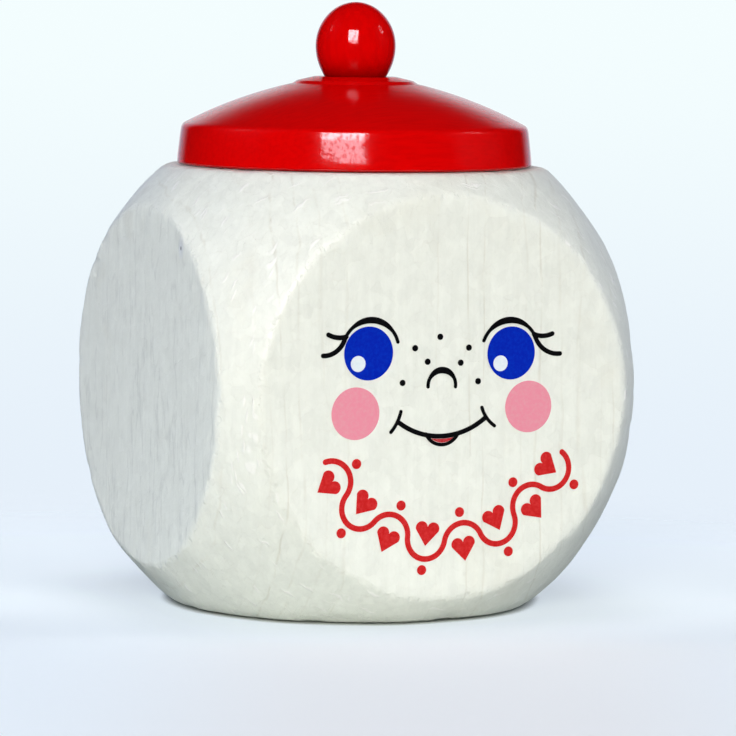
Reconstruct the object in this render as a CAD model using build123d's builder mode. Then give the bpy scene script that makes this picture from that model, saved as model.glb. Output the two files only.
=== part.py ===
"""A wooden tooth box: a rounded block with a drilled chamber, a lacquered lid and a printed face.

Lengths are millimetres and +Z is up. The origin is the middle of the underside, and the face
looks along -Y. The lid is shown closed.
"""
import os
from math import asin, atan, atan2, cos, degrees, hypot, radians, sin, sqrt

from build123d import *

# Block: a box cut down to a ball, which leaves six round discs with a ball surface between them
block_width = 45.0
block_depth = 42.0
block_height = 43.5
ball_centre_lift = 0.35
ball_edge_relief = 1.27
disc_edge_round = 2.0

# Chamber: drilled from the top
chamber_radius = 14.0
chamber_floor = 7.4
chamber_mouth_bevel = 0.5

# Lid cap: a turned disc with a low dome and a small raised pad in the middle
cap_radius = 17.7
cap_rim_height = 4.0
cap_rim_taper = 0.45
cap_rim_foot_round = 0.35
cap_shoulder_round = 0.7
dome_height = 8.15
dome_bulge = 0.4
pad_foot_radius = 6.25
pad_edge_radius = 5.8
pad_edge_height = 8.45
pad_edge_round = 0.2
knob_seat_radius = 4.1
knob_seat_height = 8.85

# Lid plug: a disc under the cap that centres the lid in the chamber's mouth
plug_depth = 3.6
plug_play = 0.25
plug_bevel = 0.5

# Knob: a ball, a little tall, that narrows to its seat, with a tenon glued into the cap
knob_radius = 4.0
knob_crown_height = 4.35
knob_centre_rise = 3.06
knob_flank_radius = 5.5
tenon_radius = 1.6
tenon_length = 5.0
tenon_bevel = 0.3
glue_gap = 0.05
tenon_end_gap = 0.4

# Printed colours: each is one thin layer of ink on the front disc
ink_thickness = 0.05

# Sizes of the print, as shares of the front disc's radius
iris_radius_share = 0.131
highlight_radius_share = 0.039
cheek_radius_share = 0.128
freckle_radius_share = 0.0155
pen_width_share = 0.0235
fine_pen_width_share = 0.0175
brow_width_share = 0.032
ink_gap_share = 0.0015

# Places of the print, as shares of the front disc's radius, sideways and up from its centre
iris_shares = ((-0.424, 0.232), (0.355, 0.213))
highlight_shares = ((-0.481, 0.183), (0.295, 0.164))
cheek_shares = ((-0.491, -0.059), (0.455, -0.055))
freckle_shares = (
    (-0.037, 0.303),
    (-0.173, 0.251),
    (0.121, 0.246),
    (-0.104, 0.183),
    (0.077, 0.173),
    (-0.239, 0.083),
    (0.174, 0.079),
)
brow_shares = (
    ((-0.267, 0.284), (-0.410, 0.394), (-0.551, 0.309)),
    ((0.203, 0.278), (0.357, 0.376), (0.485, 0.297)),
)
lash_shares = (
    ((-0.545, 0.316), (-0.592, 0.313), (-0.640, 0.328)),
    ((-0.551, 0.309), (-0.600, 0.244), (-0.667, 0.227)),
    ((0.480, 0.303), (0.533, 0.293), (0.583, 0.303)),
    ((0.485, 0.297), (0.542, 0.224), (0.627, 0.203)),
)
nose_shares = ((-0.100, 0.060), (-0.025, 0.140), (0.050, 0.056))
mouth_shares = ((-0.261, -0.107), (-0.020, -0.185), (0.214, -0.104))
mouth_end_shares = (
    ((-0.246, -0.057), (-0.266, -0.110), (-0.299, -0.156)),
    ((0.197, -0.051), (0.224, -0.103), (0.268, -0.144)),
)
lip_shares = ((-0.108, -0.172), (-0.019, -0.227), (0.068, -0.174))

# Garland: a vine that winds along an arc under the face, with a heart in each hollow
garland_start = 204
garland_end = 336
garland_hollows = 8
garland_radius_share = 0.71
vine_swing_share = 0.085
bud_reach_share = 0.14
vine_width_share = 0.028
bud_radius_share = 0.0245
heart_size_share = 0.125
heart_cleft_share = (0, 0.22)
heart_lobe_share = (0.3, 0.45)
heart_side_share = (0.5, 0.12)
heart_tip_share = (0, -0.5)

# Ball: its centre is just above the block's middle, and it stays inside the block's nearest edge
quarter_turn = 90
ball_centre_height = block_height / 2 + ball_centre_lift
ball_to_top = block_height - ball_centre_height
nearest_edge = min(
    hypot(block_width / 2, block_depth / 2),
    hypot(block_width / 2, ball_to_top),
    hypot(block_depth / 2, ball_to_top),
)
ball_radius = nearest_edge - ball_edge_relief
ball_seam_turn = degrees(atan2(block_depth, block_width))

# Sizes of the print that follow from the front disc
face_radius = sqrt(ball_radius**2 - (block_depth / 2) ** 2)
pen_width = pen_width_share * face_radius
fine_pen_width = fine_pen_width_share * face_radius
brow_width = brow_width_share * face_radius
ink_gap = ink_gap_share * face_radius
iris_radius = iris_radius_share * face_radius
heart_size = heart_size_share * face_radius

# Knob's outline: an arc up its side meets a tighter arc over its crown, and another runs down its flank
crown_radius = knob_radius**2 / knob_crown_height
crown_lift = knob_crown_height - crown_radius
side_radius = (knob_radius**2 + crown_lift**2 - crown_radius**2) / (2 * (knob_radius - crown_radius))
side_turn = degrees(atan(crown_lift / (side_radius - knob_radius)))
flank_turn = degrees(asin(knob_centre_rise / knob_flank_radius))
neck_radius = knob_radius - knob_flank_radius * (1 - cos(radians(flank_turn)))

# Planes that the lid, the knob and the print are drawn on
lid_seat = Plane.XY.offset(block_height)
lid_section = Plane(lid_seat.origin, x_dir=(1, 0, 0), z_dir=(0, -1, 0))
knob_seat = lid_seat.offset(knob_seat_height)
knob_section = Plane(knob_seat.origin, x_dir=(1, 0, 0), z_dir=(0, -1, 0))
front_disc = Plane((0, -block_depth / 2, ball_centre_height), x_dir=(1, 0, 0), z_dir=(0, -1, 0))

os.makedirs("parts", exist_ok=True)


def on_face(share):
    """The point of the front disc at a share of its radius sideways and up."""
    return (share[0] * face_radius, share[1] * face_radius)


def around_face(radius_share, angle):
    """The point of the front disc at a share of its radius and an angle in degrees."""
    radius = radius_share * face_radius
    return (radius * cos(radians(angle)), radius * sin(radians(angle)))


def pen_arc(start, middle, end):
    """The arc that a pen line follows, through three points."""
    return Edge.make_three_point_arc(start, middle, end)


def swelling_line(shares, middle_width, end_width):
    """A pen line that is widest in the middle, as a sketch about the disc's centre."""
    start, middle, end = [Vector(*on_face(share)) for share in shares]
    outward = (middle - (start + end) / 2).normalized() * (middle_width / 2)
    with BuildSketch() as line:
        SlotArc(pen_arc(start, middle, end), end_width)
        with BuildLine():
            ThreePointArc(start, middle + outward, end)
            ThreePointArc(end, middle - outward, start)
        make_face()
    return line.sketch


# Body of the box
with BuildPart() as box_body:
    with Locations((0, 0, ball_centre_height)):
        Sphere(ball_radius, rotation=(0, 0, ball_seam_turn))
    Box(
        block_width,
        block_depth,
        block_height,
        align=(Align.CENTER, Align.CENTER, Align.MIN),
        mode=Mode.INTERSECT,
    )
    disc_faces = box_body.faces().filter_by(GeomType.PLANE)
    fillet(disc_faces.edges(), disc_edge_round)
    with Locations(lid_seat):
        Hole(chamber_radius, block_height - chamber_floor)
    mouth_edges = box_body.edges().filter_by(GeomType.CIRCLE).group_by(Axis.Z)[-1]
    chamfer(mouth_edges.sort_by(SortBy.RADIUS)[0], chamber_mouth_bevel)

box_body.part.label = "box_body"
export_step(box_body.part, "parts/box_body.step")

# Lid cap
with BuildPart() as lid_cap:
    with BuildSketch(lid_section) as cap_half:
        with BuildLine():
            axis_foot = (0, 0)
            rim_foot = (cap_radius, 0)
            shoulder = (cap_radius - cap_rim_taper, cap_rim_height)
            dome_top = (pad_foot_radius, dome_height)
            pad_edge = (pad_edge_radius, pad_edge_height)
            seat_edge = (knob_seat_radius, knob_seat_height)
            axis_top = (0, knob_seat_height)
            Polyline(axis_top, axis_foot, rim_foot, shoulder)
            SagittaArc(dome_top, shoulder, dome_bulge)
            Polyline(dome_top, pad_edge, seat_edge, axis_top)
        make_face()
        fillet(cap_half.vertices().sort_by_distance(rim_foot)[0], cap_rim_foot_round)
        fillet(cap_half.vertices().sort_by_distance(shoulder)[0], cap_shoulder_round)
        fillet(cap_half.vertices().sort_by_distance(pad_edge)[0], pad_edge_round)
    revolve(axis=Axis.Z)
    with Locations(knob_seat):
        Hole(tenon_radius + glue_gap, tenon_length + tenon_end_gap)

lid_cap.part.label = "lid_cap"
export_step(lid_cap.part, "parts/lid_cap.step")

# Lid plug
with BuildPart(lid_seat) as lid_plug:
    Cylinder(
        chamber_radius - plug_play,
        plug_depth,
        align=(Align.CENTER, Align.CENTER, Align.MAX),
    )
    chamfer(lid_plug.edges().group_by(Axis.Z)[0], plug_bevel)

lid_plug.part.label = "lid_plug"
export_step(lid_plug.part, "parts/lid_plug.step")

# Knob
with BuildPart() as lid_knob:
    with BuildSketch(knob_section) as knob_half:
        with BuildLine():
            flank_centre = (knob_radius - knob_flank_radius, knob_centre_rise)
            side_centre = (knob_radius - side_radius, knob_centre_rise)
            crown_centre = (0, knob_centre_rise + crown_lift)
            knob_top = (0, knob_centre_rise + knob_crown_height)
            tenon_foot = (0, -tenon_length)
            Polyline(
                knob_top,
                tenon_foot,
                (tenon_radius - tenon_bevel, -tenon_length),
                (tenon_radius, tenon_bevel - tenon_length),
                (tenon_radius, 0),
                (neck_radius, 0),
            )
            CenterArc(flank_centre, knob_flank_radius, start_angle=-flank_turn, arc_size=flank_turn)
            CenterArc(side_centre, side_radius, start_angle=0, arc_size=side_turn)
            CenterArc(crown_centre, crown_radius, start_angle=side_turn, arc_size=quarter_turn - side_turn)
        make_face()
    revolve(axis=Axis.Z)

lid_knob.part.label = "lid_knob"
export_step(lid_knob.part, "parts/lid_knob.step")

# Blue of the eyes
with BuildPart() as print_irises:
    with BuildSketch(front_disc):
        with Locations(*[on_face(share) for share in iris_shares]):
            Circle(iris_radius)
    extrude(amount=ink_thickness)

print_irises.part.label = "print_irises"
export_step(print_irises.part, "parts/print_irises.step")

# White highlights, printed over the blue
with BuildPart() as print_highlights:
    with BuildSketch(front_disc.offset(ink_thickness)):
        with Locations(*[on_face(share) for share in highlight_shares]):
            Circle(highlight_radius_share * face_radius)
    extrude(amount=ink_thickness)

print_highlights.part.label = "print_highlights"
export_step(print_highlights.part, "parts/print_highlights.step")

# Pink cheeks
with BuildPart() as print_cheeks:
    with BuildSketch(front_disc):
        with Locations(*[on_face(share) for share in cheek_shares]):
            Circle(cheek_radius_share * face_radius)
    extrude(amount=ink_thickness)

print_cheeks.part.label = "print_cheeks"
export_step(print_cheeks.part, "parts/print_cheeks.step")

# Black brows, lashes, freckles, nose and mouth
swelling_lines = [
    swelling_line(shares, brow_width, fine_pen_width) for shares in (*brow_shares, nose_shares)
]
mouth_line = pen_arc(*[on_face(share) for share in mouth_shares])
lip_line = pen_arc(*[on_face(share) for share in lip_shares])
with BuildPart() as print_black_lines:
    with BuildSketch(front_disc):
        add(swelling_lines)
        for shares in lash_shares:
            SlotArc(pen_arc(*[on_face(share) for share in shares]), pen_width)
        with Locations(*[on_face(share) for share in freckle_shares]):
            Circle(freckle_radius_share * face_radius)
        SlotArc(mouth_line, pen_width)
        for shares in mouth_end_shares:
            SlotArc(pen_arc(*[on_face(share) for share in shares]), fine_pen_width)
        SlotArc(lip_line, fine_pen_width)
        with Locations(*[on_face(share) for share in iris_shares]):
            Circle(iris_radius + ink_gap, mode=Mode.SUBTRACT)
    extrude(amount=ink_thickness)

print_black_lines.part.label = "print_black_lines"
export_step(print_black_lines.part, "parts/print_black_lines.step")

# Red of the lip, between the mouth line and the line under it
with BuildPart() as print_lip:
    with BuildSketch(front_disc):
        with BuildLine():
            lip_left, lip_low, lip_right = [on_face(share) for share in lip_shares]
            ThreePointArc(lip_left, lip_low, lip_right)
            ThreePointArc(lip_right, on_face(mouth_shares[1]), lip_left)
        make_face()
        SlotArc(mouth_line, pen_width + 2 * ink_gap, mode=Mode.SUBTRACT)
        SlotArc(lip_line, fine_pen_width + 2 * ink_gap, mode=Mode.SUBTRACT)
    extrude(amount=ink_thickness)

print_lip.part.label = "print_lip"
export_step(print_lip.part, "parts/print_lip.step")

# One heart of the garland, upright about the origin
with BuildSketch() as heart:
    with BuildLine():
        cleft, lobe, side, tip = [
            Vector(*share) * heart_size
            for share in (heart_cleft_share, heart_lobe_share, heart_side_share, heart_tip_share)
        ]
        ThreePointArc(cleft, lobe, side)
        Line(side, tip)
        mirror(about=Plane.YZ)
    make_face()

# Red garland
garland_step = (garland_end - garland_start) / garland_hollows
with BuildPart() as print_garland:
    with BuildSketch(front_disc):
        for hollow in range(garland_hollows):
            angle = garland_start + hollow * garland_step
            crest_angle = angle + garland_step / 2
            swing = vine_swing_share if hollow % 2 else -vine_swing_share
            bud_reach = bud_reach_share if hollow % 2 else -bud_reach_share
            vine = pen_arc(
                around_face(garland_radius_share, angle),
                around_face(garland_radius_share + swing, crest_angle),
                around_face(garland_radius_share, angle + garland_step),
            )
            SlotArc(vine, vine_width_share * face_radius)
            with Locations(around_face(garland_radius_share + bud_reach, crest_angle)):
                Circle(bud_radius_share * face_radius)
            heart_place = around_face(garland_radius_share - swing / 2, crest_angle)
            with Locations(Location(heart_place, crest_angle + quarter_turn)):
                add(heart.sketch)
    extrude(amount=ink_thickness)

print_garland.part.label = "print_garland"
export_step(print_garland.part, "parts/print_garland.step")
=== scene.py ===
import math

import bpy
import numpy as np
from mathutils import Matrix, Vector


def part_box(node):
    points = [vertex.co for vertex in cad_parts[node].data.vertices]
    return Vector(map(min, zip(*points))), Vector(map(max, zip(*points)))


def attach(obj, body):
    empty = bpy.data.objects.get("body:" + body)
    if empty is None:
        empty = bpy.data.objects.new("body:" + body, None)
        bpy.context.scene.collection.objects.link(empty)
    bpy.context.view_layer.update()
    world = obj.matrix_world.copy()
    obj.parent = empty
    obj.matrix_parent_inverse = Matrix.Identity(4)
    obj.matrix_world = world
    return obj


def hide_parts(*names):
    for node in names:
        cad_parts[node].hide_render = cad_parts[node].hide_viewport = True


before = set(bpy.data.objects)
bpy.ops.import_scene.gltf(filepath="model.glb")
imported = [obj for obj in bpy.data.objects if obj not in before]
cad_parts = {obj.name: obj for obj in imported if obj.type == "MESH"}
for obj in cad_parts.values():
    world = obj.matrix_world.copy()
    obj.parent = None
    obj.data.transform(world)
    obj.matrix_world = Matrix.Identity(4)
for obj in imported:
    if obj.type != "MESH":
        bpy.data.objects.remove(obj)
bpy.context.view_layer.update()

# Looks of the wooden tooth box: a glazed beech block, a lacquered lid and a printed face.
# Lengths are metres. The face looks along -Y and the lid's knob points up +Z.
mm = 0.001
full_turn = 2 * math.pi

# Block, as in the frame: a box cut down to a ball, with a drilled chamber
body_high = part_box("box_body")[1]
block_height = body_high.z
ball_centre_lift = 0.35 * mm
ball_edge_relief = 1.27 * mm
disc_edge_round = 1.4 * mm
plug_low, plug_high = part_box("lid_plug")
plug_radius = plug_high.x
plug_play = 0.25 * mm
plug_bevel = 0.5 * mm
chamber_radius = plug_radius + plug_play
chamber_floor = 7.4 * mm
chamber_bevel = 0.5 * mm
chamber_bevel_round = 0.15 * mm
chamber_floor_round = 0.4 * mm
plug_bevel_round = 0.15 * mm
plug_top_round = 0.05 * mm

ball_height = block_height / 2 + ball_centre_lift
ball_centre = np.array((0, 0, ball_height))
ball_to_top = block_height - ball_height
ball_radius = -ball_edge_relief + min(
    math.hypot(body_high.x, body_high.y),
    math.hypot(body_high.x, ball_to_top),
    math.hypot(body_high.y, ball_to_top),
)

# Wear of the block, from sanding by hand
sanding_depth = 0.22 * mm
sanding_wave = (5 * mm, 16 * mm)
edge_round_swing = 0.35 * mm
edge_nick_depth = 0.10 * mm
edge_nick_wave = (2.2 * mm, 5 * mm)
edge_nick_reach = 1.1 * mm
ring_spacing = 2.0 * mm
ring_relief = 0.010 * mm
ring_wave = (8 * mm, 30 * mm)
ring_sway_share = 0.6
ring_stretch_shares = (1, 1, 0.4)
ring_fade_start_share = 0.66
ring_fade_span_share = 0.1

# Underside: its outer ring is worn up off the floor
foot_rise = 0.13 * mm
foot_rise_start = 15.4 * mm
foot_rise_end = 17.4 * mm
foot_rise_height = 1.3 * mm

# Fineness of the meshes, with the least reach that rounds a corner and the least length of a way
block_columns = 420
block_rows = 176
lid_columns = 288
rim_steps = 8
dome_steps = 20
knob_flank_steps = 24
knob_crown_steps = 16
rounding_steps = 7
outline_step = 0.6 * mm
chamber_step = 1.3 * mm
normal_step = 0.05 * mm
least_reach = 1e-7
least_length = 1e-12

# Lid, as in the frame
cap_low, cap_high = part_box("lid_cap")
lid_seat = cap_low.z
knob_seat = cap_high.z
cap_radius = 17.7 * mm
cap_rim_height = 4.0 * mm
cap_rim_taper = 0.45 * mm
cap_rim_bulge = 0.07 * mm
cap_rim_foot_round = 0.30 * mm
cap_foot_rise = 0.05 * mm
cap_foot_run = 1.6 * mm
cap_shoulder_round = 0.7 * mm
dome_height = 8.15 * mm
dome_bulge = 0.4 * mm
pad_foot_radius = 6.25 * mm
pad_foot_round = 0.25 * mm
pad_edge_radius = 5.8 * mm
pad_edge_height = 8.45 * mm
pad_edge_round = 0.2 * mm
knob_seat_radius = 4.1 * mm
knob_seat_round = 0.3 * mm
hole_round = 0.1 * mm
knob_low, knob_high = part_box("lid_knob")
knob_radius = knob_high.x
knob_centre_rise = 3.06 * mm
knob_crown_height = knob_high.z - knob_seat - knob_centre_rise
knob_flank_radius = 5.5 * mm
tenon_radius = 1.6 * mm
tenon_length = knob_seat - knob_low.z
tenon_bevel = 0.3 * mm
tenon_bevel_round = 0.05 * mm
tenon_root_round = 0.1 * mm
neck_round = 0.05 * mm
glue_gap = 0.05 * mm
tenon_end_gap = 0.4 * mm
lacquer_wave = (1.2 * mm, 5 * mm)
lacquer_relief = 0.004 * mm
lacquer_calm_radius = 1.5 * mm

# Small dark pin knot near the edge of the left disc, in millimetres
pin_knot = (-22.5, -8.8, 36.1)
pin_knot_squash = (1, 1, 0.6)
pin_knot_reach = (0.06, 0.17)
pin_knot_halo_reach = (0.1, 0.9)

# Lacquer: scale of its grain along each axis, reach of the painted shade that darkens it in creases and
# round the knob, and roughness
cap_grain = (0.25, 2.6, 2.6)
cap_painted_shade_reach = 0.8 * mm
cap_polish = 0.075
knob_grain = (2.0, 2.0, 0.3)
knob_painted_shade_reach = 5.0 * mm
knob_polish = 0.045

# Colours, linear
glaze_colour = (0.86, 0.885, 0.835)
glaze_line_colour = (0.62, 0.59, 0.50)
glaze_dash_colour = (0.55, 0.57, 0.55)
# Ray flecks, partly the wood's own and partly painted glints
glaze_fleck_and_painted_glint_colour = (0.95, 0.96, 0.93)
glaze_stain_colour = (0.78, 0.77, 0.68)
knot_colour = (0.03, 0.03, 0.05)
knot_halo_colour = (0.62, 0.66, 0.80)
bare_wood_colour = (0.70, 0.53, 0.35)
bare_line_colour = (0.52, 0.34, 0.19)
bare_fleck_colour = (0.58, 0.39, 0.23)
lacquer_colour = (0.71, 0.0003, 0.0005)
lacquer_deep_colour = (0.59, 0.0002, 0.0004)
# Painted shade in the lacquer's creases and round the knob
lacquer_painted_shade_colour = (0.22, 0.0001, 0.0002)
# Floor: behind the box the paper is darker, painted shade, and its glow is brighter, painted light; the
# middle tint is a painted warm light in front.
paper_front_colour = (0.55, 0.59, 0.56)
paper_back_painted_shade_colour = (0.33, 0.35, 0.335)
lift_back_painted_light_colour = (0.62, 0.685, 0.77)
lift_front_colour = (0.405, 0.445, 0.54)
painted_warm_light_tint = (0.97, 0.87, 0.82)
backdrop_high_colour = (0.90, 0.985, 0.995)
backdrop_low_colour = (0.79, 0.87, 0.957)
sweep_colour = (0.50, 0.56, 0.70)
sweep_core_colour = (0.93, 0.98, 1.05)
room_colour = (0.009, 0.010, 0.012)

# Inks: material, colour, colour where the ink is thin, and how far it shows there
inks = {
    "print_irises": ("ink_blue", (0.0004, 0.012, 0.42), (0.0005, 0.040, 0.55), 0.5),
    "print_highlights": ("ink_white", (0.82, 0.88, 0.93), (0.60, 0.72, 0.88), 0.3),
    "print_cheeks": ("ink_pink", (0.84, 0.265, 0.37), (0.80, 0.38, 0.44), 0.5),
    "print_black_lines": ("ink_black", (0.001, 0.001, 0.0015), (0.006, 0.006, 0.007), 0.5),
    "print_lip": ("ink_lip", (0.46, 0.006, 0.016), (0.62, 0.16, 0.17), 0.5),
    "print_garland": ("ink_red", (0.56, 0.008, 0.010), (0.70, 0.05, 0.05), 0.5),
}

# Floor: how far round the box a painted shadow dims the paper's glow, widely and in the gap under its edge
floor_reach = 3.0
floor_drop = 0.01 * mm
painted_shadow_reach = 14 * mm
painted_gap_shadow_reach = 1.0 * mm

# Floor, in millimetres from the box's middle towards the camera: where its painted light and shade change,
# with the paper darker and its glow brighter behind the box, and where the camera and the bounced light
# stop seeing it. The painted warm light's middle and sides run to the right.
paper_change = (-15.0, 30.0)
lift_change = (0.0, 27.0)
tint_middle = 9.0
tint_sides = (8.0, 38.0)
tint_start = (18.0, 36.0)
pool_middle = 70
pool_edge = (110.0, 165.0)
bounce_edge = (75.0, 105.0)

# Backdrop: the rise over which its colour changes, and in degrees the sweep that gloss and light see
backdrop_change = (-0.13, 0.0)
sweep_sides = (38, 19)
sweep_core_sides = (18, 9)
sweep_top = (15, 30)

# Camera, at the photograph's viewing angle
camera_azimuth = math.radians(-25.55)
camera_elevation = math.radians(5.44)
camera_roll = math.radians(0.67)
camera_distance = 406.2 * mm
camera_clip = 10 * mm
image_side = 736
sensor_width = 36
focal_pixels = 4045.12
centre_pixel = (351.73, 378.47)

# Lamps: azimuth and elevation in degrees, distance, width, height, radiance and colour.
# The glints are seen in the gloss alone, and the others light the surfaces alone.
warm = (1.0, 0.97, 0.89)
plain = (0.96, 0.93, 1.02)
cool = (0.82, 0.88, 1.0)
blue = (0.62, 0.76, 1.06)
lamps = {
    "main_softbox": (-33, 16, 0.90, 0.43, 0.56, 8.3, warm),
    "main_core": (-34, 18, 0.89, 0.22, 0.28, 7.2, warm),
    "left_softbox": (-115, 35, 0.80, 0.07, 0.12, 8.0, warm),
    "right_softbox": (68, 32, 0.80, 0.09, 0.15, 10.0, warm),
    "left_fill": (-112, 32, 1.2, 0.9, 0.9, 2.15, blue),
    "right_fill": (65, 20, 1.2, 0.9, 0.9, 2.9, cool),
}
glints = {
    "main_glint": (-33, 27, 0.90, 0.43, 0.51, 9.0, plain),
    "main_glint_foot": (-28, 9.8, 0.90, 0.31, 0.045, 9.0, plain),
    "main_glint_top": (-33, 29.5, 0.89, 0.43, 0.40, 11.0, plain),
    "left_glint": (-115, 35, 0.80, 0.09, 0.15, 3.0, plain),
    "right_glint": (68, 32, 0.80, 0.11, 0.18, 7.0, plain),
}


def direction(azimuth, elevation):
    """The unit direction at an azimuth from -Y towards +X and an elevation, in radians."""
    level = math.cos(elevation)
    return Vector((math.sin(azimuth) * level, -math.cos(azimuth) * level, math.sin(elevation)))


def make_waves(seed, count, lengths):
    """Wave vectors and phases for a smooth random field."""
    random = np.random.default_rng(seed)
    ways = random.normal(size=(count, 3))
    ways /= np.linalg.norm(ways, axis=1, keepdims=True)
    return full_turn * ways / random.uniform(*lengths, (count, 1)), random.uniform(0, full_turn, count)


def sway(points, waves):
    """A smooth random field over points, mostly from -1 to 1."""
    turns, phases = waves
    waves_here = np.sin(points @ turns.T + phases)
    return np.clip(waves_here.sum(axis=1) / math.sqrt(2 * len(phases)), -1, 1)


def unit(vectors):
    """The vectors, each at length 1."""
    return vectors / np.maximum(np.linalg.norm(vectors, axis=-1, keepdims=True), least_length)


def slopes(grid, axis):
    """The way a grid of points runs along one axis, true to uneven steps."""
    ahead = np.roll(grid, -1, axis) - grid
    behind = grid - np.roll(grid, 1, axis)
    if axis == 0:
        ahead[-1] = behind[-1]
        behind[0] = ahead[0]
    ahead_length = np.maximum(np.linalg.norm(ahead, axis=-1, keepdims=True), least_length)
    behind_length = np.maximum(np.linalg.norm(behind, axis=-1, keepdims=True), least_length)
    return ahead / ahead_length * behind_length + behind / behind_length * ahead_length


def ring_normals(rings):
    """The normals at the points of rings."""
    return unit(np.cross(slopes(rings, 1), slopes(rings, 0)))


def ring_mesh(name, rings, start, end, normals=None):
    """A closed mesh of rings of points from start to end, with smooth normals."""
    rows, columns = rings.shape[:2]
    if normals is None:
        normals = ring_normals(rings)
    points = np.vstack((rings.reshape(-1, 3), start, end))
    start_index, end_index = rows * columns, rows * columns + 1
    column = np.arange(columns)
    after = np.roll(column, -1)
    first = np.arange(rows - 1)[:, None] * columns
    second = first + columns
    quads = np.stack((first + column, first + after, second + after, second + column), 2)
    last = (rows - 1) * columns
    faces = quads.reshape(-1, 4).tolist()
    faces += [(start_index, b, a) for a, b in zip(column.tolist(), after.tolist())]
    faces += [(end_index, last + a, last + b) for a, b in zip(column.tolist(), after.tolist())]
    mesh = bpy.data.meshes.new(name)
    mesh.from_pydata(points.tolist(), [], faces)
    mesh.shade_smooth()
    start_normal = unit(normals[0].mean(0))
    end_normal = unit(normals[-1].mean(0))
    mesh.normals_split_custom_set_from_vertices(
        np.vstack((normals.reshape(-1, 3), start_normal, end_normal)).tolist()
    )
    made = bpy.data.objects.new(name, mesh)
    bpy.context.scene.collection.objects.link(made)
    return made


def arc_points(centre, start, end, steps):
    """Points along the arc about a centre from start to end, both included."""
    ray = start - centre
    angle = (end - centre).angle_signed(ray)
    turns = [Matrix.Rotation(angle * step / steps, 2) for step in range(steps + 1)]
    return [centre + turn @ ray for turn in turns]


def rounded_profile(corners, longest=outline_step):
    """Points along an outline of corners, each a radius, a height and a rounding."""
    places = [Vector(corner[:2]) for corner in corners]
    points = [places[0]]
    roundings = [corner[2] for corner in corners[1:-1]]
    for before, here, after, rounding in zip(places, places[1:], places[2:], roundings):
        come, go = (here - before).normalized(), (after - here).normalized()
        reach = rounding * math.tan(come.angle(go, 0) / 2)
        if reach < least_reach:
            points.append(here)
            continue
        start, end = here - come * reach, here + go * reach
        centre = here + (go - come).normalized() * math.hypot(reach, rounding)
        points += arc_points(centre, start, end, rounding_steps)
    points.append(places[-1])
    outline = [points[0]]
    for point in points[1:]:
        gap = point - outline[-1]
        pieces = max(1, math.ceil(gap.length / longest))
        begin = outline[-1]
        outline += [begin + gap * (piece / pieces) for piece in range(1, pieces + 1)]
    return outline


def spun(outline, columns):
    """Rings of points from an outline turned about the Z axis."""
    places = np.array([tuple(point) for point in outline])
    angles = np.arange(columns) * full_turn / columns
    rings = np.empty((len(places), columns, 3))
    rings[:, :, 0] = places[:, :1] * np.cos(angles)
    rings[:, :, 1] = places[:, :1] * np.sin(angles)
    rings[:, :, 2] = places[:, 1:]
    return rings


def turned(name, profile, columns, waves=None, relief=0.0):
    """A piece turned about the Z axis from an outline that starts and ends on it."""
    rings = spun(profile[1:-1], columns)
    if waves is not None:
        depth = relief * (0.5 + 0.5 * sway(rings.reshape(-1, 3), waves))
        off_axis = np.abs(rings[:, :, :2].reshape(-1, 2)).max(axis=1)
        depth *= np.minimum(1, off_axis / lacquer_calm_radius)
        rings -= ring_normals(rings) * depth.reshape(rings.shape[:2] + (1,))
    ends = [(0, 0, profile[index][1]) for index in (0, -1)]
    return ring_mesh(name, rings, *ends)


# Random fields of the block's wear
sanding_waves = make_waves(seed=3, count=40, lengths=sanding_wave)
edge_waves = make_waves(seed=11, count=40, lengths=sanding_wave)
nick_waves = make_waves(seed=37, count=60, lengths=edge_nick_wave)
ring_waves = make_waves(seed=17, count=30, lengths=ring_wave)

# The block's six discs: the way each faces, and its distance from the ball's centre
discs = (
    ((1, 0, 0), body_high.x),
    ((-1, 0, 0), body_high.x),
    ((0, 1, 0), body_high.y),
    ((0, -1, 0), body_high.y),
    ((0, 0, 1), ball_to_top),
    ((0, 0, -1), ball_height),
)


def eased(share):
    """Runs smoothly from 0 to 1 as a share does, and stays there outside it."""
    share = np.clip(share, 0, 1)
    return share * share * (3 - 2 * share)


def block_surface(ways):
    """The block's outer surface along unit directions from the ball's centre."""
    rough_place = ways * ball_radius
    ball = ball_radius - sanding_depth * (0.5 + 0.5 * sway(rough_place, sanding_waves))
    edge = disc_edge_round + edge_round_swing * sway(rough_place, edge_waves)
    nicks = edge_nick_depth * np.clip(2 * sway(rough_place, nick_waves) - 0.5, 0, 1)
    reach = ball.copy()
    for normal, distance in discs:
        arm = ball - edge
        along = distance - edge
        across = np.sqrt(arm**2 - along**2)
        turn = np.arccos(np.clip(ways @ np.array(normal, float), -1, 1))
        mid = np.cos(turn) * along + np.sin(turn) * across
        rounding = mid + np.sqrt(np.maximum(mid**2 - arm**2 + edge**2, 0))
        reach = np.where(turn < np.arctan2(across, along), rounding, reach)
        on_disc = turn < np.arctan2(across, distance)
        reach = np.where(on_disc, distance / np.maximum(np.cos(turn), 0.1), reach)
        off_edge = (turn - np.arctan2(across, distance)) * ball_radius / edge_nick_reach
        reach = reach - nicks * np.exp(-off_edge**2)
    points = ways * reach[:, None]
    ring_sway = ring_sway_share * ring_spacing * sway(points * ring_stretch_shares, ring_waves)
    ring_place = points[:, 0] + ring_sway
    groove = 0.5 + 0.5 * np.cos(full_turn * ring_place / ring_spacing)
    lean = np.abs(ways[:, 2])
    upright = 1 - np.clip((lean - ring_fade_start_share) / ring_fade_span_share, 0, 1)
    reach = reach - ring_relief * groove * upright
    surface = ball_centre + ways * reach[:, None]
    out = (np.hypot(surface[:, 0], surface[:, 1]) - foot_rise_start) / (foot_rise_end - foot_rise_start)
    low = 1 - eased(surface[:, 2] / foot_rise_height)
    surface[:, 2] += foot_rise * eased(out) * low
    return surface


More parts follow.
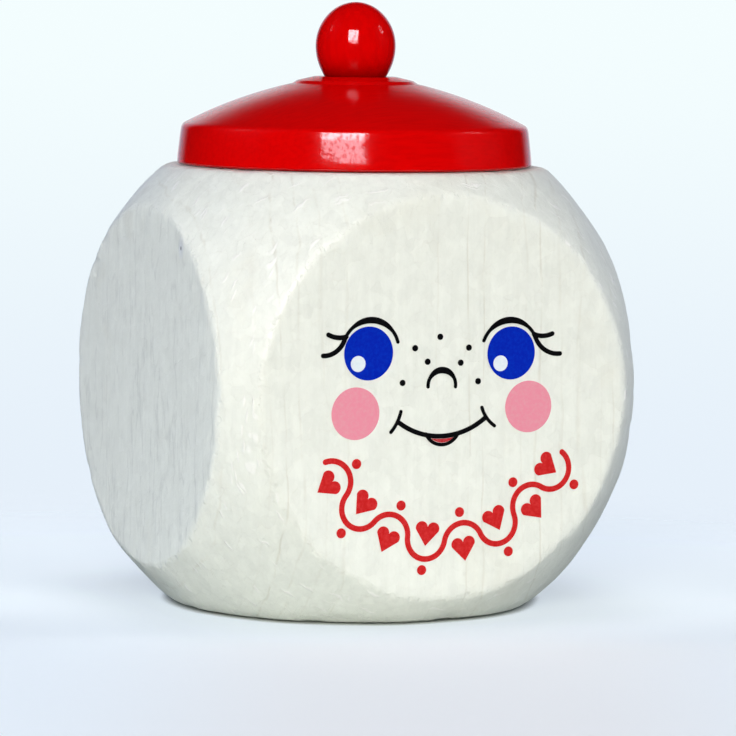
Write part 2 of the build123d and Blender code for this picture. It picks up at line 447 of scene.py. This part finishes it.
def make_block():
    """The block: its outside from the underside to the chamber's mouth, then the chamber."""
    mouth_radius = chamber_radius + chamber_bevel
    mouth_turn = math.pi - math.atan2(mouth_radius, ball_to_top)
    turns = np.linspace(0, mouth_turn, block_rows + 1)[1:]
    angles = np.arange(block_columns) * full_turn / block_columns
    turn, angle = np.meshgrid(turns, angles, indexing="ij")
    level = np.sin(turn)
    ways = np.stack((level * np.cos(angle), level * np.sin(angle), -np.cos(turn)), 2).reshape(-1, 3)
    nudge = normal_step / ball_radius
    side = unit(np.cross((0, 0, 1), ways))
    up = np.cross(ways, side)
    outside = block_surface(ways)
    spans = [
        block_surface(unit(ways + nudge * way)) - block_surface(unit(ways - nudge * way))
        for way in (side, up)
    ]
    outside_normals = unit(np.cross(*spans))
    outside = outside.reshape(len(turns), block_columns, 3)

    well = rounded_profile(
        (
            (mouth_radius, block_height, 0),
            (chamber_radius, block_height - chamber_bevel, chamber_bevel_round),
            (chamber_radius, chamber_floor, chamber_floor_round),
            (0, chamber_floor, 0),
        ),
        longest=chamber_step,
    )[1:-1]
    rings = np.concatenate((outside, spun(well, block_columns)))
    normals = ring_normals(rings)
    smooth_rows = len(turns) - 2
    normals[:smooth_rows] = outside_normals.reshape(outside.shape)[:smooth_rows]
    block = ring_mesh("block", rings, (0, 0, 0), (0, 0, chamber_floor), normals)
    inner_start = len(turns) * block_columns
    return block, inner_start


class Shader:
    """Short calls that build a node tree. Most of them return an output of the new node."""

    def __init__(self, tree):
        self.tree = tree
        tree.nodes.clear()

    def add(self, kind, sockets=None, output=0, **settings):
        """A node of a kind, its inputs linked or set by their name or number."""
        node = self.tree.nodes.new("ShaderNode" + kind)
        for name, value in settings.items():
            setattr(node, name, value)
        for socket, value in (sockets or {}).items():
            if isinstance(value, bpy.types.NodeSocket):
                self.tree.links.new(value, node.inputs[socket])
                continue
            if node.inputs[socket].type == "RGBA" and len(value) == 3:
                value = (*value, 1)
            node.inputs[socket].default_value = value
        return node.outputs[output] if node.outputs else node

    def calc(self, operation, *values, clamp=False):
        """Arithmetic on numbers."""
        return self.add("Math", dict(enumerate(values)), operation=operation, use_clamp=clamp)

    def times(self, first, *others):
        """The product of numbers."""
        for other in others:
            first = self.calc("MULTIPLY", first, other)
        return first

    def total(self, start, *terms):
        """A start plus terms, each a number and its weight."""
        for term, weight in terms:
            start = self.calc("MULTIPLY_ADD", term, weight, start)
        return start

    def vector(self, operation, *values):
        """Arithmetic on vectors, with a vector as its result."""
        return self.add("VectorMath", dict(enumerate(values)), operation=operation)

    def measure(self, operation, *vectors):
        """Arithmetic on vectors, with a number as its result."""
        return self.add("VectorMath", dict(enumerate(vectors)), output=1, operation=operation)

    def ramp(self, value, low, high, to_low=0.0, to_high=1.0):
        """Runs smoothly from to_low to to_high as value runs from low to high."""
        sockets = {0: value, 1: low, 2: high, 3: to_low, 4: to_high}
        return self.add("MapRange", sockets, interpolation_type="SMOOTHSTEP")

    def mix(self, share, low, high, blend="MIX"):
        """A colour from low to high by a share."""
        sockets = {0: share, 6: low, 7: high}
        return self.add("Mix", sockets, output=2, data_type="RGBA", blend_type=blend)

    def layered(self, colour, *layers):
        """A colour under layers, each a share and a colour."""
        for share, layer in layers:
            colour = self.mix(share, colour, layer)
        return colour

    def shaded(self, colour, *shades):
        """A colour times shades of grey."""
        shade = self.times(*shades)
        grey = self.add("CombineColor", {0: shade, 1: shade, 2: shade})
        return self.mix(1.0, colour, grey, "MULTIPLY")

    def noise(self, place, scale, detail=2.0, roughness=0.5):
        """Noise over a place in millimetres, with a scale per millimetre on each axis."""
        stretched = self.vector("MULTIPLY", place, scale)
        sockets = {"Vector": stretched, "Scale": 1.0, "Detail": detail, "Roughness": roughness}
        return self.add("TexNoise", sockets)

    def cell_lot(self, sockets):
        """A number from 0 to 1, drawn by lot for each cell of a Voronoi texture."""
        return self.add("SeparateColor", {0: self.add("TexVoronoi", sockets, output=1)}, output=0)

    def thin_lines(self, field, width):
        """1 along the lines where a field passes its middle, falling to 0 over the width."""
        off = self.calc("ABSOLUTE", self.calc("SUBTRACT", field, 0.5))
        return self.ramp(off, 0.0, width, 1.0, 0.0)

    def place(self):
        """The place on the piece in millimetres, in the frame's axes."""
        here = self.add("TexCoord", output=3)
        return self.vector("MULTIPLY", here, (1 / mm,) * 3)

    def bump(self, height):
        """The normal as a height in millimetres bends it."""
        return self.add("Bump", {"Strength": 1.0, "Distance": mm, "Height": height})

    def coat(self, colour, roughness, height, ior, gloss):
        """Ends a material's tree in a surface that isn't metal, with its relief in millimetres."""
        sockets = {
            "Base Color": colour,
            "Roughness": roughness,
            "IOR": ior,
            "Specular IOR Level": gloss,
            "Normal": self.bump(height),
        }
        self.add("OutputMaterial", {"Surface": self.add("BsdfPrincipled", sockets)})


def new_material(name):
    """An empty node material and its shader."""
    material = bpy.data.materials.new(name)
    material.use_nodes = True
    return material, Shader(material.node_tree)


def beech_streaks(shader, place):
    """The fine streaks of beech wood with its grain up Z."""
    return shader.noise(place, (1.6, 1.6, 0.07), 4.0, 0.6)


def beech(shader, place):
    """The fields of beech wood with its grain up Z and its rings across X."""
    drift = shader.calc("SUBTRACT", shader.noise(place, (0.05, 0.05, 0.022), 2.0), 0.5)
    shiver = shader.calc("SUBTRACT", shader.noise(place, (0.6, 0.6, 0.16), 2.0), 0.5)
    spread = shader.calc("SUBTRACT", shader.noise(place, (0.30, 0.02, 0.01), 1.0), 0.5)
    x, y, z = (shader.add("SeparateXYZ", {0: place}, output=index) for index in range(3))
    across = shader.total(x, (drift, 7.0), (shiver, 0.9), (spread, 3.0), (shader.times(y, y), 0.004))
    rings = shader.calc("DIVIDE", across, ring_spacing / mm)
    strength = shader.add("TexWhiteNoise", {"W": shader.calc("FLOOR", rings)}, noise_dimensions="1D")
    strength = shader.ramp(strength, 0.25, 0.95, 0.05, 1.0)
    broken = shader.ramp(shader.noise(place, (0.9, 0.9, 0.13), 2.0), 0.38, 0.60, 0.1, 1.0)
    line = shader.thin_lines(shader.calc("FRACT", rings), 0.10)

    bent = shader.add("CombineXYZ", {0: x, 1: shader.total(y, (shiver, 1.6)), 2: z})
    fibres = shader.thin_lines(shader.noise(bent, (0.45, 0.55, 0.11), 3.0, 0.55), 0.045)

    stretched = shader.vector("MULTIPLY", bent, (0.30, 2.8, 0.55))
    sockets = {"Vector": stretched, "Scale": 1.0, "Randomness": 1.0}
    near = shader.add("TexVoronoi", sockets)
    chosen = shader.ramp(shader.cell_lot(sockets), 0.80, 0.84)

    return {
        "late": shader.times(line, strength, broken),
        "fibres": shader.times(fibres, broken),
        "rays": shader.times(chosen, shader.ramp(near, 0.2, 0.45, 1.0, 0.0)),
        "pores": shader.ramp(shader.noise(place, (5.0, 5.0, 0.45), 2.0, 0.6), 0.60, 0.72),
        "streaks": beech_streaks(shader, place),
        "clouds": shader.noise(place, (0.16, 0.16, 0.10), 3.0, 0.6),
    }


def facings(shader):
    """How far a surface faces along X, how far along no axis, and how near a disc's edge it is."""
    normal = shader.vector("ABSOLUTE", shader.add("NewGeometry", output=1))
    along = [shader.add("SeparateXYZ", {0: normal}, output=index) for index in range(3)]
    most = shader.calc("MAXIMUM", shader.calc("MAXIMUM", along[0], along[1]), along[2])
    side = shader.ramp(along[0], 0.80, 0.97)
    slant = shader.ramp(most, 0.86, 0.97, 1.0, 0.0)
    edge = shader.times(shader.ramp(most, 0.74, 0.84), shader.ramp(most, 0.93, 0.99, 1.0, 0.0))
    return side, slant, edge


def pin_knot_shares(shader, place):
    """How far the knot's halo and its dark heart show."""
    away = shader.vector("MULTIPLY", shader.vector("SUBTRACT", place, pin_knot), pin_knot_squash)
    away = shader.measure("LENGTH", away)
    halo = shader.ramp(away, *pin_knot_halo_reach, 0.35, 0.0)
    return halo, shader.ramp(away, *pin_knot_reach, 0.9, 0.0)


def glazed_wood():
    """Pale beech under a thin white satin glaze with a fine crackle."""
    material, shader = new_material("glazed_wood")
    place = shader.place()
    wood = beech(shader, place)
    side, slant, edge = facings(shader)
    off_side = shader.calc("SUBTRACT", 1.0, side, clamp=True)
    board = shader.times(side, shader.calc("SUBTRACT", 1.0, slant))

    bent = shader.add("TexNoise", {"Vector": place, "Scale": 0.8, "Detail": 1.0}, output=1)
    bent = shader.vector("MULTIPLY", shader.vector("SUBTRACT", bent, (0.5,) * 3), (0.9,) * 3)
    bent = shader.vector("ADD", place, bent)
    flakes = {"Vector": shader.vector("MULTIPLY", bent, (0.95, 0.95, 0.75)), "Scale": 1.0}
    chips = {"Vector": shader.vector("MULTIPLY", bent, (2.3, 2.3, 1.5)), "Scale": 1.0}
    flake = shader.cell_lot(flakes)
    chip = shader.cell_lot(chips)
    off_crack = shader.add("TexVoronoi", flakes, feature="DISTANCE_TO_EDGE")
    shown = shader.ramp(shader.noise(place, (0.7, 0.7, 0.7), 2.0), 0.46, 0.66)
    cracks = shader.times(shader.ramp(off_crack, 0.0, 0.05, 1.0, 0.0), shown)
    mottle = shader.noise(place, (0.7, 0.7, 0.45), 4.0, 0.65)
    stain = shader.noise(place, (0.13, 0.13, 0.10), 3.0, 0.6)
    halo, heart = pin_knot_shares(shader, place)

    colour = shader.layered(
        glaze_colour,
        (shader.times(wood["late"], shader.ramp(off_side, 0.0, 1.0, 0.10, 0.36)), glaze_line_colour),
        (shader.times(wood["fibres"], shader.ramp(board, 0.0, 1.0, 0.06, 0.30)), glaze_dash_colour),
        (shader.times(wood["rays"], board, 0.06), glaze_dash_colour),
        # Ray flecks, lighter on the roundings: partly the wood's own flecks and partly painted glints.
        (shader.times(wood["rays"], shader.ramp(slant, 0.0, 1.0, 0.15, 1.0), off_side), glaze_fleck_and_painted_glint_colour),
        (shader.times(wood["pores"], 0.03), glaze_dash_colour),
        (shader.times(cracks, shader.ramp(off_side, 0.0, 1.0, 0.02, 0.07)), glaze_line_colour),
        (shader.ramp(stain, 0.56, 0.72, 0.0, 0.22), glaze_stain_colour),
        (halo, knot_halo_colour),
        (heart, knot_colour),
    )
    colour = shader.shaded(
        colour,
        shader.total(0.95, (wood["streaks"], 0.10)),
        shader.total(0.978, (flake, 0.045)),
        shader.total(0.989, (chip, 0.022)),
        shader.total(0.93, (mottle, 0.14)),
    )

    brush = shader.noise(place, (0.9, 0.9, 0.35), 3.0, 0.6)
    grit = shader.noise(place, (6.0, 6.0, 3.0), 2.0, 0.6)
    chipped = shader.ramp(shader.noise(place, (1.3, 1.3, 1.1), 2.0, 0.6), 0.50, 0.62)
    height = shader.total(
        0.0,
        (wood["late"], -0.020),
        (shader.times(wood["fibres"], board), -0.014),
        (shader.times(wood["rays"], slant), 0.040),
        (wood["pores"], -0.004),
        (cracks, -0.010),
        (shader.times(flake, off_side), 0.046),
        (shader.times(chip, off_side), 0.018),
        (mottle, shader.ramp(slant, 0.0, 1.0, 0.085, 0.055)),
        (brush, 0.045),
        (grit, 0.005),
        (shader.times(chipped, edge), -0.05),
    )
    roughness = shader.total(0.32, (brush, 0.16), (wood["rays"], -0.12))
    shader.coat(colour, roughness, height, ior=1.46, gloss=0.3)
    return material


def bare_wood(name):
    """Bare beech, fine sanded, for the chamber and the plug."""
    material, shader = new_material(name)
    place = shader.place()
    wood = beech(shader, place)
    grit = shader.noise(place, (9.0, 9.0, 2.0), 2.0, 0.6)
    colour = shader.layered(
        bare_wood_colour,
        (shader.times(wood["late"], 0.6), bare_line_colour),
        (shader.times(wood["rays"], 0.6), bare_fleck_colour),
        (shader.times(wood["pores"], 0.4), bare_line_colour),
    )
    shades = [shader.total(0.85, (wood[field], 0.3)) for field in ("streaks", "clouds")]
    colour = shader.shaded(colour, *shades)
    height = shader.total(0.0, (wood["pores"], -0.03), (wood["streaks"], 0.03), (grit, 0.012))
    roughness = shader.total(0.52, (wood["streaks"], 0.15))
    shader.coat(colour, roughness, height, ior=1.45, gloss=0.5)
    return material


def red_lacquer(name, grain, painted_shade_reach, polish):
    """High-gloss red lacquer over wood whose grain still shows, duller underneath and by the knob, with
    painted shade in its creases.
    """
    material, shader = new_material(name)
    place = shader.place()
    rise = shader.add("SeparateXYZ", {0: shader.add("NewGeometry", output=1)}, output=2)
    lines = shader.noise(place, grain, 4.0, 0.6)
    nicks = shader.ramp(shader.noise(place, (3.4, 3.4, 2.0), 2.0, 0.6), 0.50, 0.64)
    peel = shader.noise(place, (2.0, 2.0, 2.0), 2.0, 0.5)
    clouds = shader.noise(place, (0.22, 0.22, 0.22), 2.0, 0.5)

    depth = shader.total(shader.ramp(lines, 0.35, 0.7, 0.0, 0.55), (nicks, 0.20))
    depth = shader.calc("MULTIPLY_ADD", clouds, 0.25, depth, clamp=True)
    # Painted shade: ambient occlusion darkens the lacquer's colour where other surfaces hem it in, round
    # the knob's neck and underside and at the rim's foot.
    open_share = shader.add("AmbientOcclusion", {"Distance": painted_shade_reach}, output=1, samples=8)
    painted_crease_shade = shader.ramp(open_share, 0.3, 0.85, 0.85, 0.0)
    colour = shader.layered(
        lacquer_colour, (depth, lacquer_deep_colour), (painted_crease_shade, lacquer_painted_shade_colour)
    )

    height = shader.total(0.0, (lines, shader.ramp(rise, 0.45, 0.75, 0.003, 0.020)), (peel, 0.006))
    roughness = shader.total(shader.ramp(rise, 0.45, 0.85, polish, polish + 0.08), (clouds, 0.04))
    gloss = shader.times(
        shader.total(0.52, (nicks, -0.34)),
        shader.ramp(rise, -0.6, -0.25, 0.45, 1.0),
        shader.ramp(rise, 0.6, 0.85, 1.0, 0.82),
        shader.ramp(rise, 0.955, 0.972, 1.0, 0.12),
    )
    shader.coat(colour, roughness, height, ior=1.5, gloss=gloss)
    return material


def ink(name, colour, thin_colour, thin_share):
    """A thin layer of printed ink, a little uneven, with the wood's grain under it."""
    material, shader = new_material(name)
    place = shader.place()
    streaks = beech_streaks(shader, place)
    mottle = shader.noise(place, (3.0, 3.0, 3.0), 3.0, 0.6)
    thin = shader.total(
        0.0, (shader.ramp(mottle, 0.35, 0.75), thin_share), (streaks, thin_share / 2)
    )
    height = shader.total(0.0, (streaks, 0.012), (mottle, 0.006))
    roughness = shader.total(0.38, (mottle, 0.15))
    shader.coat(shader.mix(thin, colour, thin_colour), roughness, height, ior=1.45, gloss=0.08)
    return material


def make_cap():
    """The lid's cap: rim, dome, pad and the hole for the knob's tenon."""
    shoulder = Vector((cap_radius - cap_rim_taper, lid_seat + cap_rim_height))
    dome_top = Vector((pad_foot_radius, lid_seat + dome_height))
    chord = dome_top - shoulder
    bulge_radius = (chord.length_squared / 4 + dome_bulge**2) / (2 * dome_bulge)
    outward = Vector((-chord.y, chord.x)).normalized()
    if outward.y < 0:
        outward.negate()
    centre = (shoulder + dome_top) / 2 - outward * (bulge_radius - dome_bulge)
    dome = arc_points(centre, shoulder, dome_top, dome_steps)[1:-1]
    rim = [
        (
            cap_radius - cap_rim_taper * share + cap_rim_bulge * (1 - (2 * share - 1) ** 4),
            lid_seat + cap_rim_height * share,
            0,
        )
        for share in (step / rim_steps for step in range(1, rim_steps))
    ]
    hole_radius = tenon_radius + glue_gap
    hole_floor = knob_seat - tenon_length - tenon_end_gap
    corners = [
        (0, lid_seat, 0),
        (cap_radius - cap_foot_run, lid_seat, 0),
        (cap_radius, lid_seat + cap_foot_rise, cap_rim_foot_round),
        *rim,
        (*shoulder, cap_shoulder_round),
        *[(*point, 0) for point in dome],
        (*dome_top, pad_foot_round),
        (pad_edge_radius, lid_seat + pad_edge_height, pad_edge_round),
        (knob_seat_radius, knob_seat, knob_seat_round),
        (hole_radius, knob_seat, hole_round),
        (hole_radius, hole_floor, hole_round),
        (0, hole_floor, 0),
    ]
    waves = make_waves(seed=23, count=60, lengths=lacquer_wave)
    return turned("cap", rounded_profile(corners), lid_columns, waves, lacquer_relief)


def make_knob():
    """The ball knob, a little tall and narrow at its seat, with its tenon."""
    centre_height = knob_seat + knob_centre_rise
    crown_radius = knob_radius**2 / knob_crown_height
    crown_lift = knob_crown_height - crown_radius
    side_radius = knob_radius**2 + crown_lift**2 - crown_radius**2
    side_radius /= 2 * (knob_radius - crown_radius)
    flank_centre = Vector((knob_radius - knob_flank_radius, centre_height))
    side_centre = Vector((knob_radius - side_radius, centre_height))
    crown_centre = Vector((0, centre_height + crown_lift))
    neck_reach = math.sqrt(knob_flank_radius**2 - knob_centre_rise**2)
    neck = flank_centre + Vector((neck_reach, -knob_centre_rise))
    widest = Vector((knob_radius, centre_height))
    crown_edge = crown_centre + (crown_centre - side_centre).normalized() * crown_radius
    crown_top = Vector((0, centre_height + knob_crown_height))
    outline = arc_points(flank_centre, neck, widest, knob_flank_steps)[1:]
    outline += arc_points(side_centre, widest, crown_edge, knob_crown_steps)[1:]
    outline += arc_points(crown_centre, crown_edge, crown_top, knob_crown_steps)[1:-1]
    corners = [
        (0, knob_seat - tenon_length, 0),
        (tenon_radius - tenon_bevel, knob_seat - tenon_length, tenon_bevel_round),
        (tenon_radius, knob_seat - tenon_length + tenon_bevel, tenon_bevel_round),
        (tenon_radius, knob_seat, tenon_root_round),
        (*neck, neck_round),
        *[(*point, 0) for point in outline],
        (*crown_top, 0),
    ]
    waves = make_waves(seed=29, count=60, lengths=lacquer_wave)
    profile = rounded_profile(corners)
    return turned("knob", profile, lid_columns // 2, waves, lacquer_relief / 2)


def make_plug():
    """The plug under the cap, with a bevel that leads it into the mouth."""
    corners = [
        (0, plug_low.z, 0),
        (plug_radius - plug_bevel, plug_low.z, plug_bevel_round),
        (plug_radius, plug_low.z + plug_bevel, plug_bevel_round),
        (plug_radius, plug_high.z, plug_top_round),
        (0, plug_high.z, 0),
    ]
    return turned("plug", rounded_profile(corners), lid_columns)


def add_lamp(name, settings, is_glint):
    """A soft lamp that faces the middle of the block."""
    azimuth, elevation, distance, width, height, radiance, colour = settings
    light = bpy.data.lights.new(name, "AREA")
    light.color = colour
    light.shape = "RECTANGLE"
    light.size = width
    light.size_y = height
    light.energy = math.pi * radiance * width * height
    lamp = bpy.data.objects.new(name, light)
    way = direction(math.radians(azimuth), math.radians(elevation))
    lamp.location = Vector(ball_centre) + way * distance
    lamp.rotation_mode = "QUATERNION"
    lamp.rotation_quaternion = (-way).to_track_quat("-Z", "Y")
    lamp.visible_camera = False
    lamp.visible_glossy = is_glint
    lamp.visible_diffuse = not is_glint
    bpy.context.scene.collection.objects.link(lamp)


def add_camera():
    """The camera, at the photograph's angle, with the shift that its framing needs."""
    back = direction(camera_azimuth, camera_elevation)
    level_right = Vector((math.cos(camera_azimuth), math.sin(camera_azimuth), 0))
    level_up = back.cross(level_right)
    right = level_right * math.cos(camera_roll) + level_up * math.sin(camera_roll)
    up = level_up * math.cos(camera_roll) - level_right * math.sin(camera_roll)
    data = bpy.data.cameras.new("camera")
    data.sensor_width = sensor_width
    data.lens = focal_pixels * sensor_width / image_side
    data.shift_x = (image_side / 2 - centre_pixel[0]) / image_side
    data.shift_y = (centre_pixel[1] - image_side / 2) / image_side
    data.clip_start = camera_clip
    camera = bpy.data.objects.new("camera", data)
    spot = Vector(ball_centre) + back * camera_distance
    camera.matrix_world = Matrix.Translation(spot) @ Matrix((right, up, back)).transposed().to_4x4()
    bpy.context.scene.collection.objects.link(camera)
    bpy.context.scene.camera = camera


def add_world():
    """A pale backdrop for the camera, and a paper sweep in a dim room for the light."""
    world = bpy.data.worlds.new("studio")
    bpy.context.scene.world = world
    world.use_nodes = True
    shader = Shader(world.node_tree)
    way = shader.vector("NORMALIZE", shader.add("TexCoord", output=0))
    rise = shader.add("SeparateXYZ", {0: way}, output=2)
    high = shader.ramp(rise, *backdrop_change)
    backdrop = shader.mix(high, backdrop_low_colour, backdrop_high_colour)
    behind = -direction(camera_azimuth, 0)
    level = shader.vector("NORMALIZE", shader.vector("MULTIPLY", way, (1, 1, 0)))
    facing = shader.measure("DOT_PRODUCT", level, behind)
    wide = shader.ramp(facing, *(math.cos(math.radians(angle)) for angle in sweep_sides))
    under = shader.ramp(rise, *(math.sin(math.radians(angle)) for angle in sweep_top), 1.0, 0.0)
    core = shader.ramp(facing, *(math.cos(math.radians(angle)) for angle in sweep_core_sides))
    sweep = shader.mix(core, sweep_colour, sweep_core_colour)
    studio = shader.mix(shader.times(wide, under), room_colour, sweep)
    from_camera = shader.add("LightPath", output=0)
    through_glass = shader.add("LightPath", output=6)
    seen = shader.calc("MAXIMUM", from_camera, through_glass)
    shown = shader.mix(seen, studio, backdrop)
    surface = shader.add("Background", {"Color": shown, "Strength": 1.0})
    shader.add("OutputWorld", {"Surface": surface})


def add_floor():
    """A sheet of pale paper that keeps the box's shadow, with painted shadow round the box and painted
    light and shade that change towards the camera, and fades into the backdrop.
    """
    mesh = bpy.data.meshes.new("floor")
    corners = [
        (x * floor_reach, y * floor_reach, -floor_drop)
        for x, y in ((-1, -1), (1, -1), (1, 1), (-1, 1))
    ]
    mesh.from_pydata(corners, [], [(0, 1, 2, 3)])
    floor = bpy.data.objects.new("floor", mesh)
    bpy.context.scene.collection.objects.link(floor)
    material, shader = new_material("floor_paper")
    place = shader.place()
    tooth = shader.noise(place, (2.0, 2.0, 2.0), 2.0)
    bump = shader.bump(shader.times(tooth, 0.01))
    ahead = direction(camera_azimuth, 0)
    beside = ahead.cross(Vector((0, 0, -1)))
    depth = shader.measure("DOT_PRODUCT", place, ahead)
    across = shader.measure("DOT_PRODUCT", place, beside)
    # Painted shade: the paper darkens behind the box.
    paper = shader.mix(shader.ramp(depth, *paper_change), paper_back_painted_shade_colour, paper_front_colour)
    lit = shader.add("BsdfDiffuse", {"Color": paper, "Normal": bump})
    seen = shader.add("LightPath", output=0)
    # Painted shadow: ambient occlusion dims the glow round the box's foot, and darkly in the gap under its
    # edge.
    painted_haze_shadow = shader.add("AmbientOcclusion", {"Distance": painted_shadow_reach}, output=1, samples=8)
    gap = shader.add("AmbientOcclusion", {"Distance": painted_gap_shadow_reach}, output=1, samples=8)
    glow = shader.times(shader.ramp(painted_haze_shadow, 0.35, 1.0, 0.72, 1.0), shader.ramp(gap, 0.1, 0.7))
    # Painted light and shade: the glow's colour changes towards the camera, brighter behind the box, with a
    # painted warm light in front of the box, a little to its right.
    tint = shader.mix(shader.ramp(depth, *lift_change), lift_back_painted_light_colour, lift_front_colour)
    off_middle = shader.calc("ABSOLUTE", shader.calc("SUBTRACT", across, tint_middle))
    middle = shader.ramp(off_middle, *tint_sides, 1.0, 0.0)
    middle = shader.times(middle, shader.ramp(depth, *tint_start))
    middle = shader.mix(middle, (1.0, 1.0, 1.0), painted_warm_light_tint)
    tint = shader.mix(1.0, tint, middle, "MULTIPLY")
    lift = shader.add("Emission", {"Color": tint, "Strength": glow})
    lifted = shader.add("AddShader", {0: lit, 1: lift})
    from_box = shader.measure("LENGTH", place)
    from_pool = shader.measure("LENGTH", shader.vector("SUBTRACT", place, ahead * pool_middle))
    clear = shader.add("BsdfTransparent", {"Color": (1, 1, 1)})
    shown = shader.add("MixShader", {0: shader.ramp(from_pool, *pool_edge), 1: lifted, 2: clear})
    lighting = shader.add("MixShader", {0: shader.ramp(from_box, *bounce_edge), 1: lit, 2: clear})
    surface = shader.add("MixShader", {0: seen, 1: lighting, 2: shown})
    shader.add("OutputMaterial", {"Surface": surface})
    mesh.materials.append(material)


def dress(piece, body, node, slot, *materials):
    """Puts a new piece in the place of a CAD node, on its body and with its materials."""
    for material in materials:
        piece.data.materials.append(material)
    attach(piece, body)
    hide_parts(node)


# Block, with bare wood in its chamber
block, inner_start = make_block()
dress(block, "box", "box_body", "block_wood", glazed_wood(), bare_wood("chamber_wood"))
for face in block.data.polygons:
    if min(face.vertices) >= inner_start:
        face.material_index = 1

# Lid
cap_lacquer = red_lacquer("cap_lacquer", cap_grain, cap_painted_shade_reach, cap_polish)
knob_lacquer = red_lacquer("knob_lacquer", knob_grain, knob_painted_shade_reach, knob_polish)
dress(make_cap(), "lid", "lid_cap", "lid_lacquer", cap_lacquer)
dress(make_knob(), "lid", "lid_knob", "lid_lacquer", knob_lacquer)
dress(make_plug(), "lid", "lid_plug", "plug_wood", bare_wood("plug_wood"))

# Print
for node, recipe in inks.items():
    material = ink(*recipe)
    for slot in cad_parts[node].material_slots:
        slot.material = material

# Studio
add_world()
add_floor()
for name, settings in lamps.items():
    add_lamp(name, settings, False)
for name, settings in glints.items():
    add_lamp(name, settings, True)
add_camera()
bpy.context.scene.view_settings.view_transform = "Standard"

bpy.context.view_layer.update()
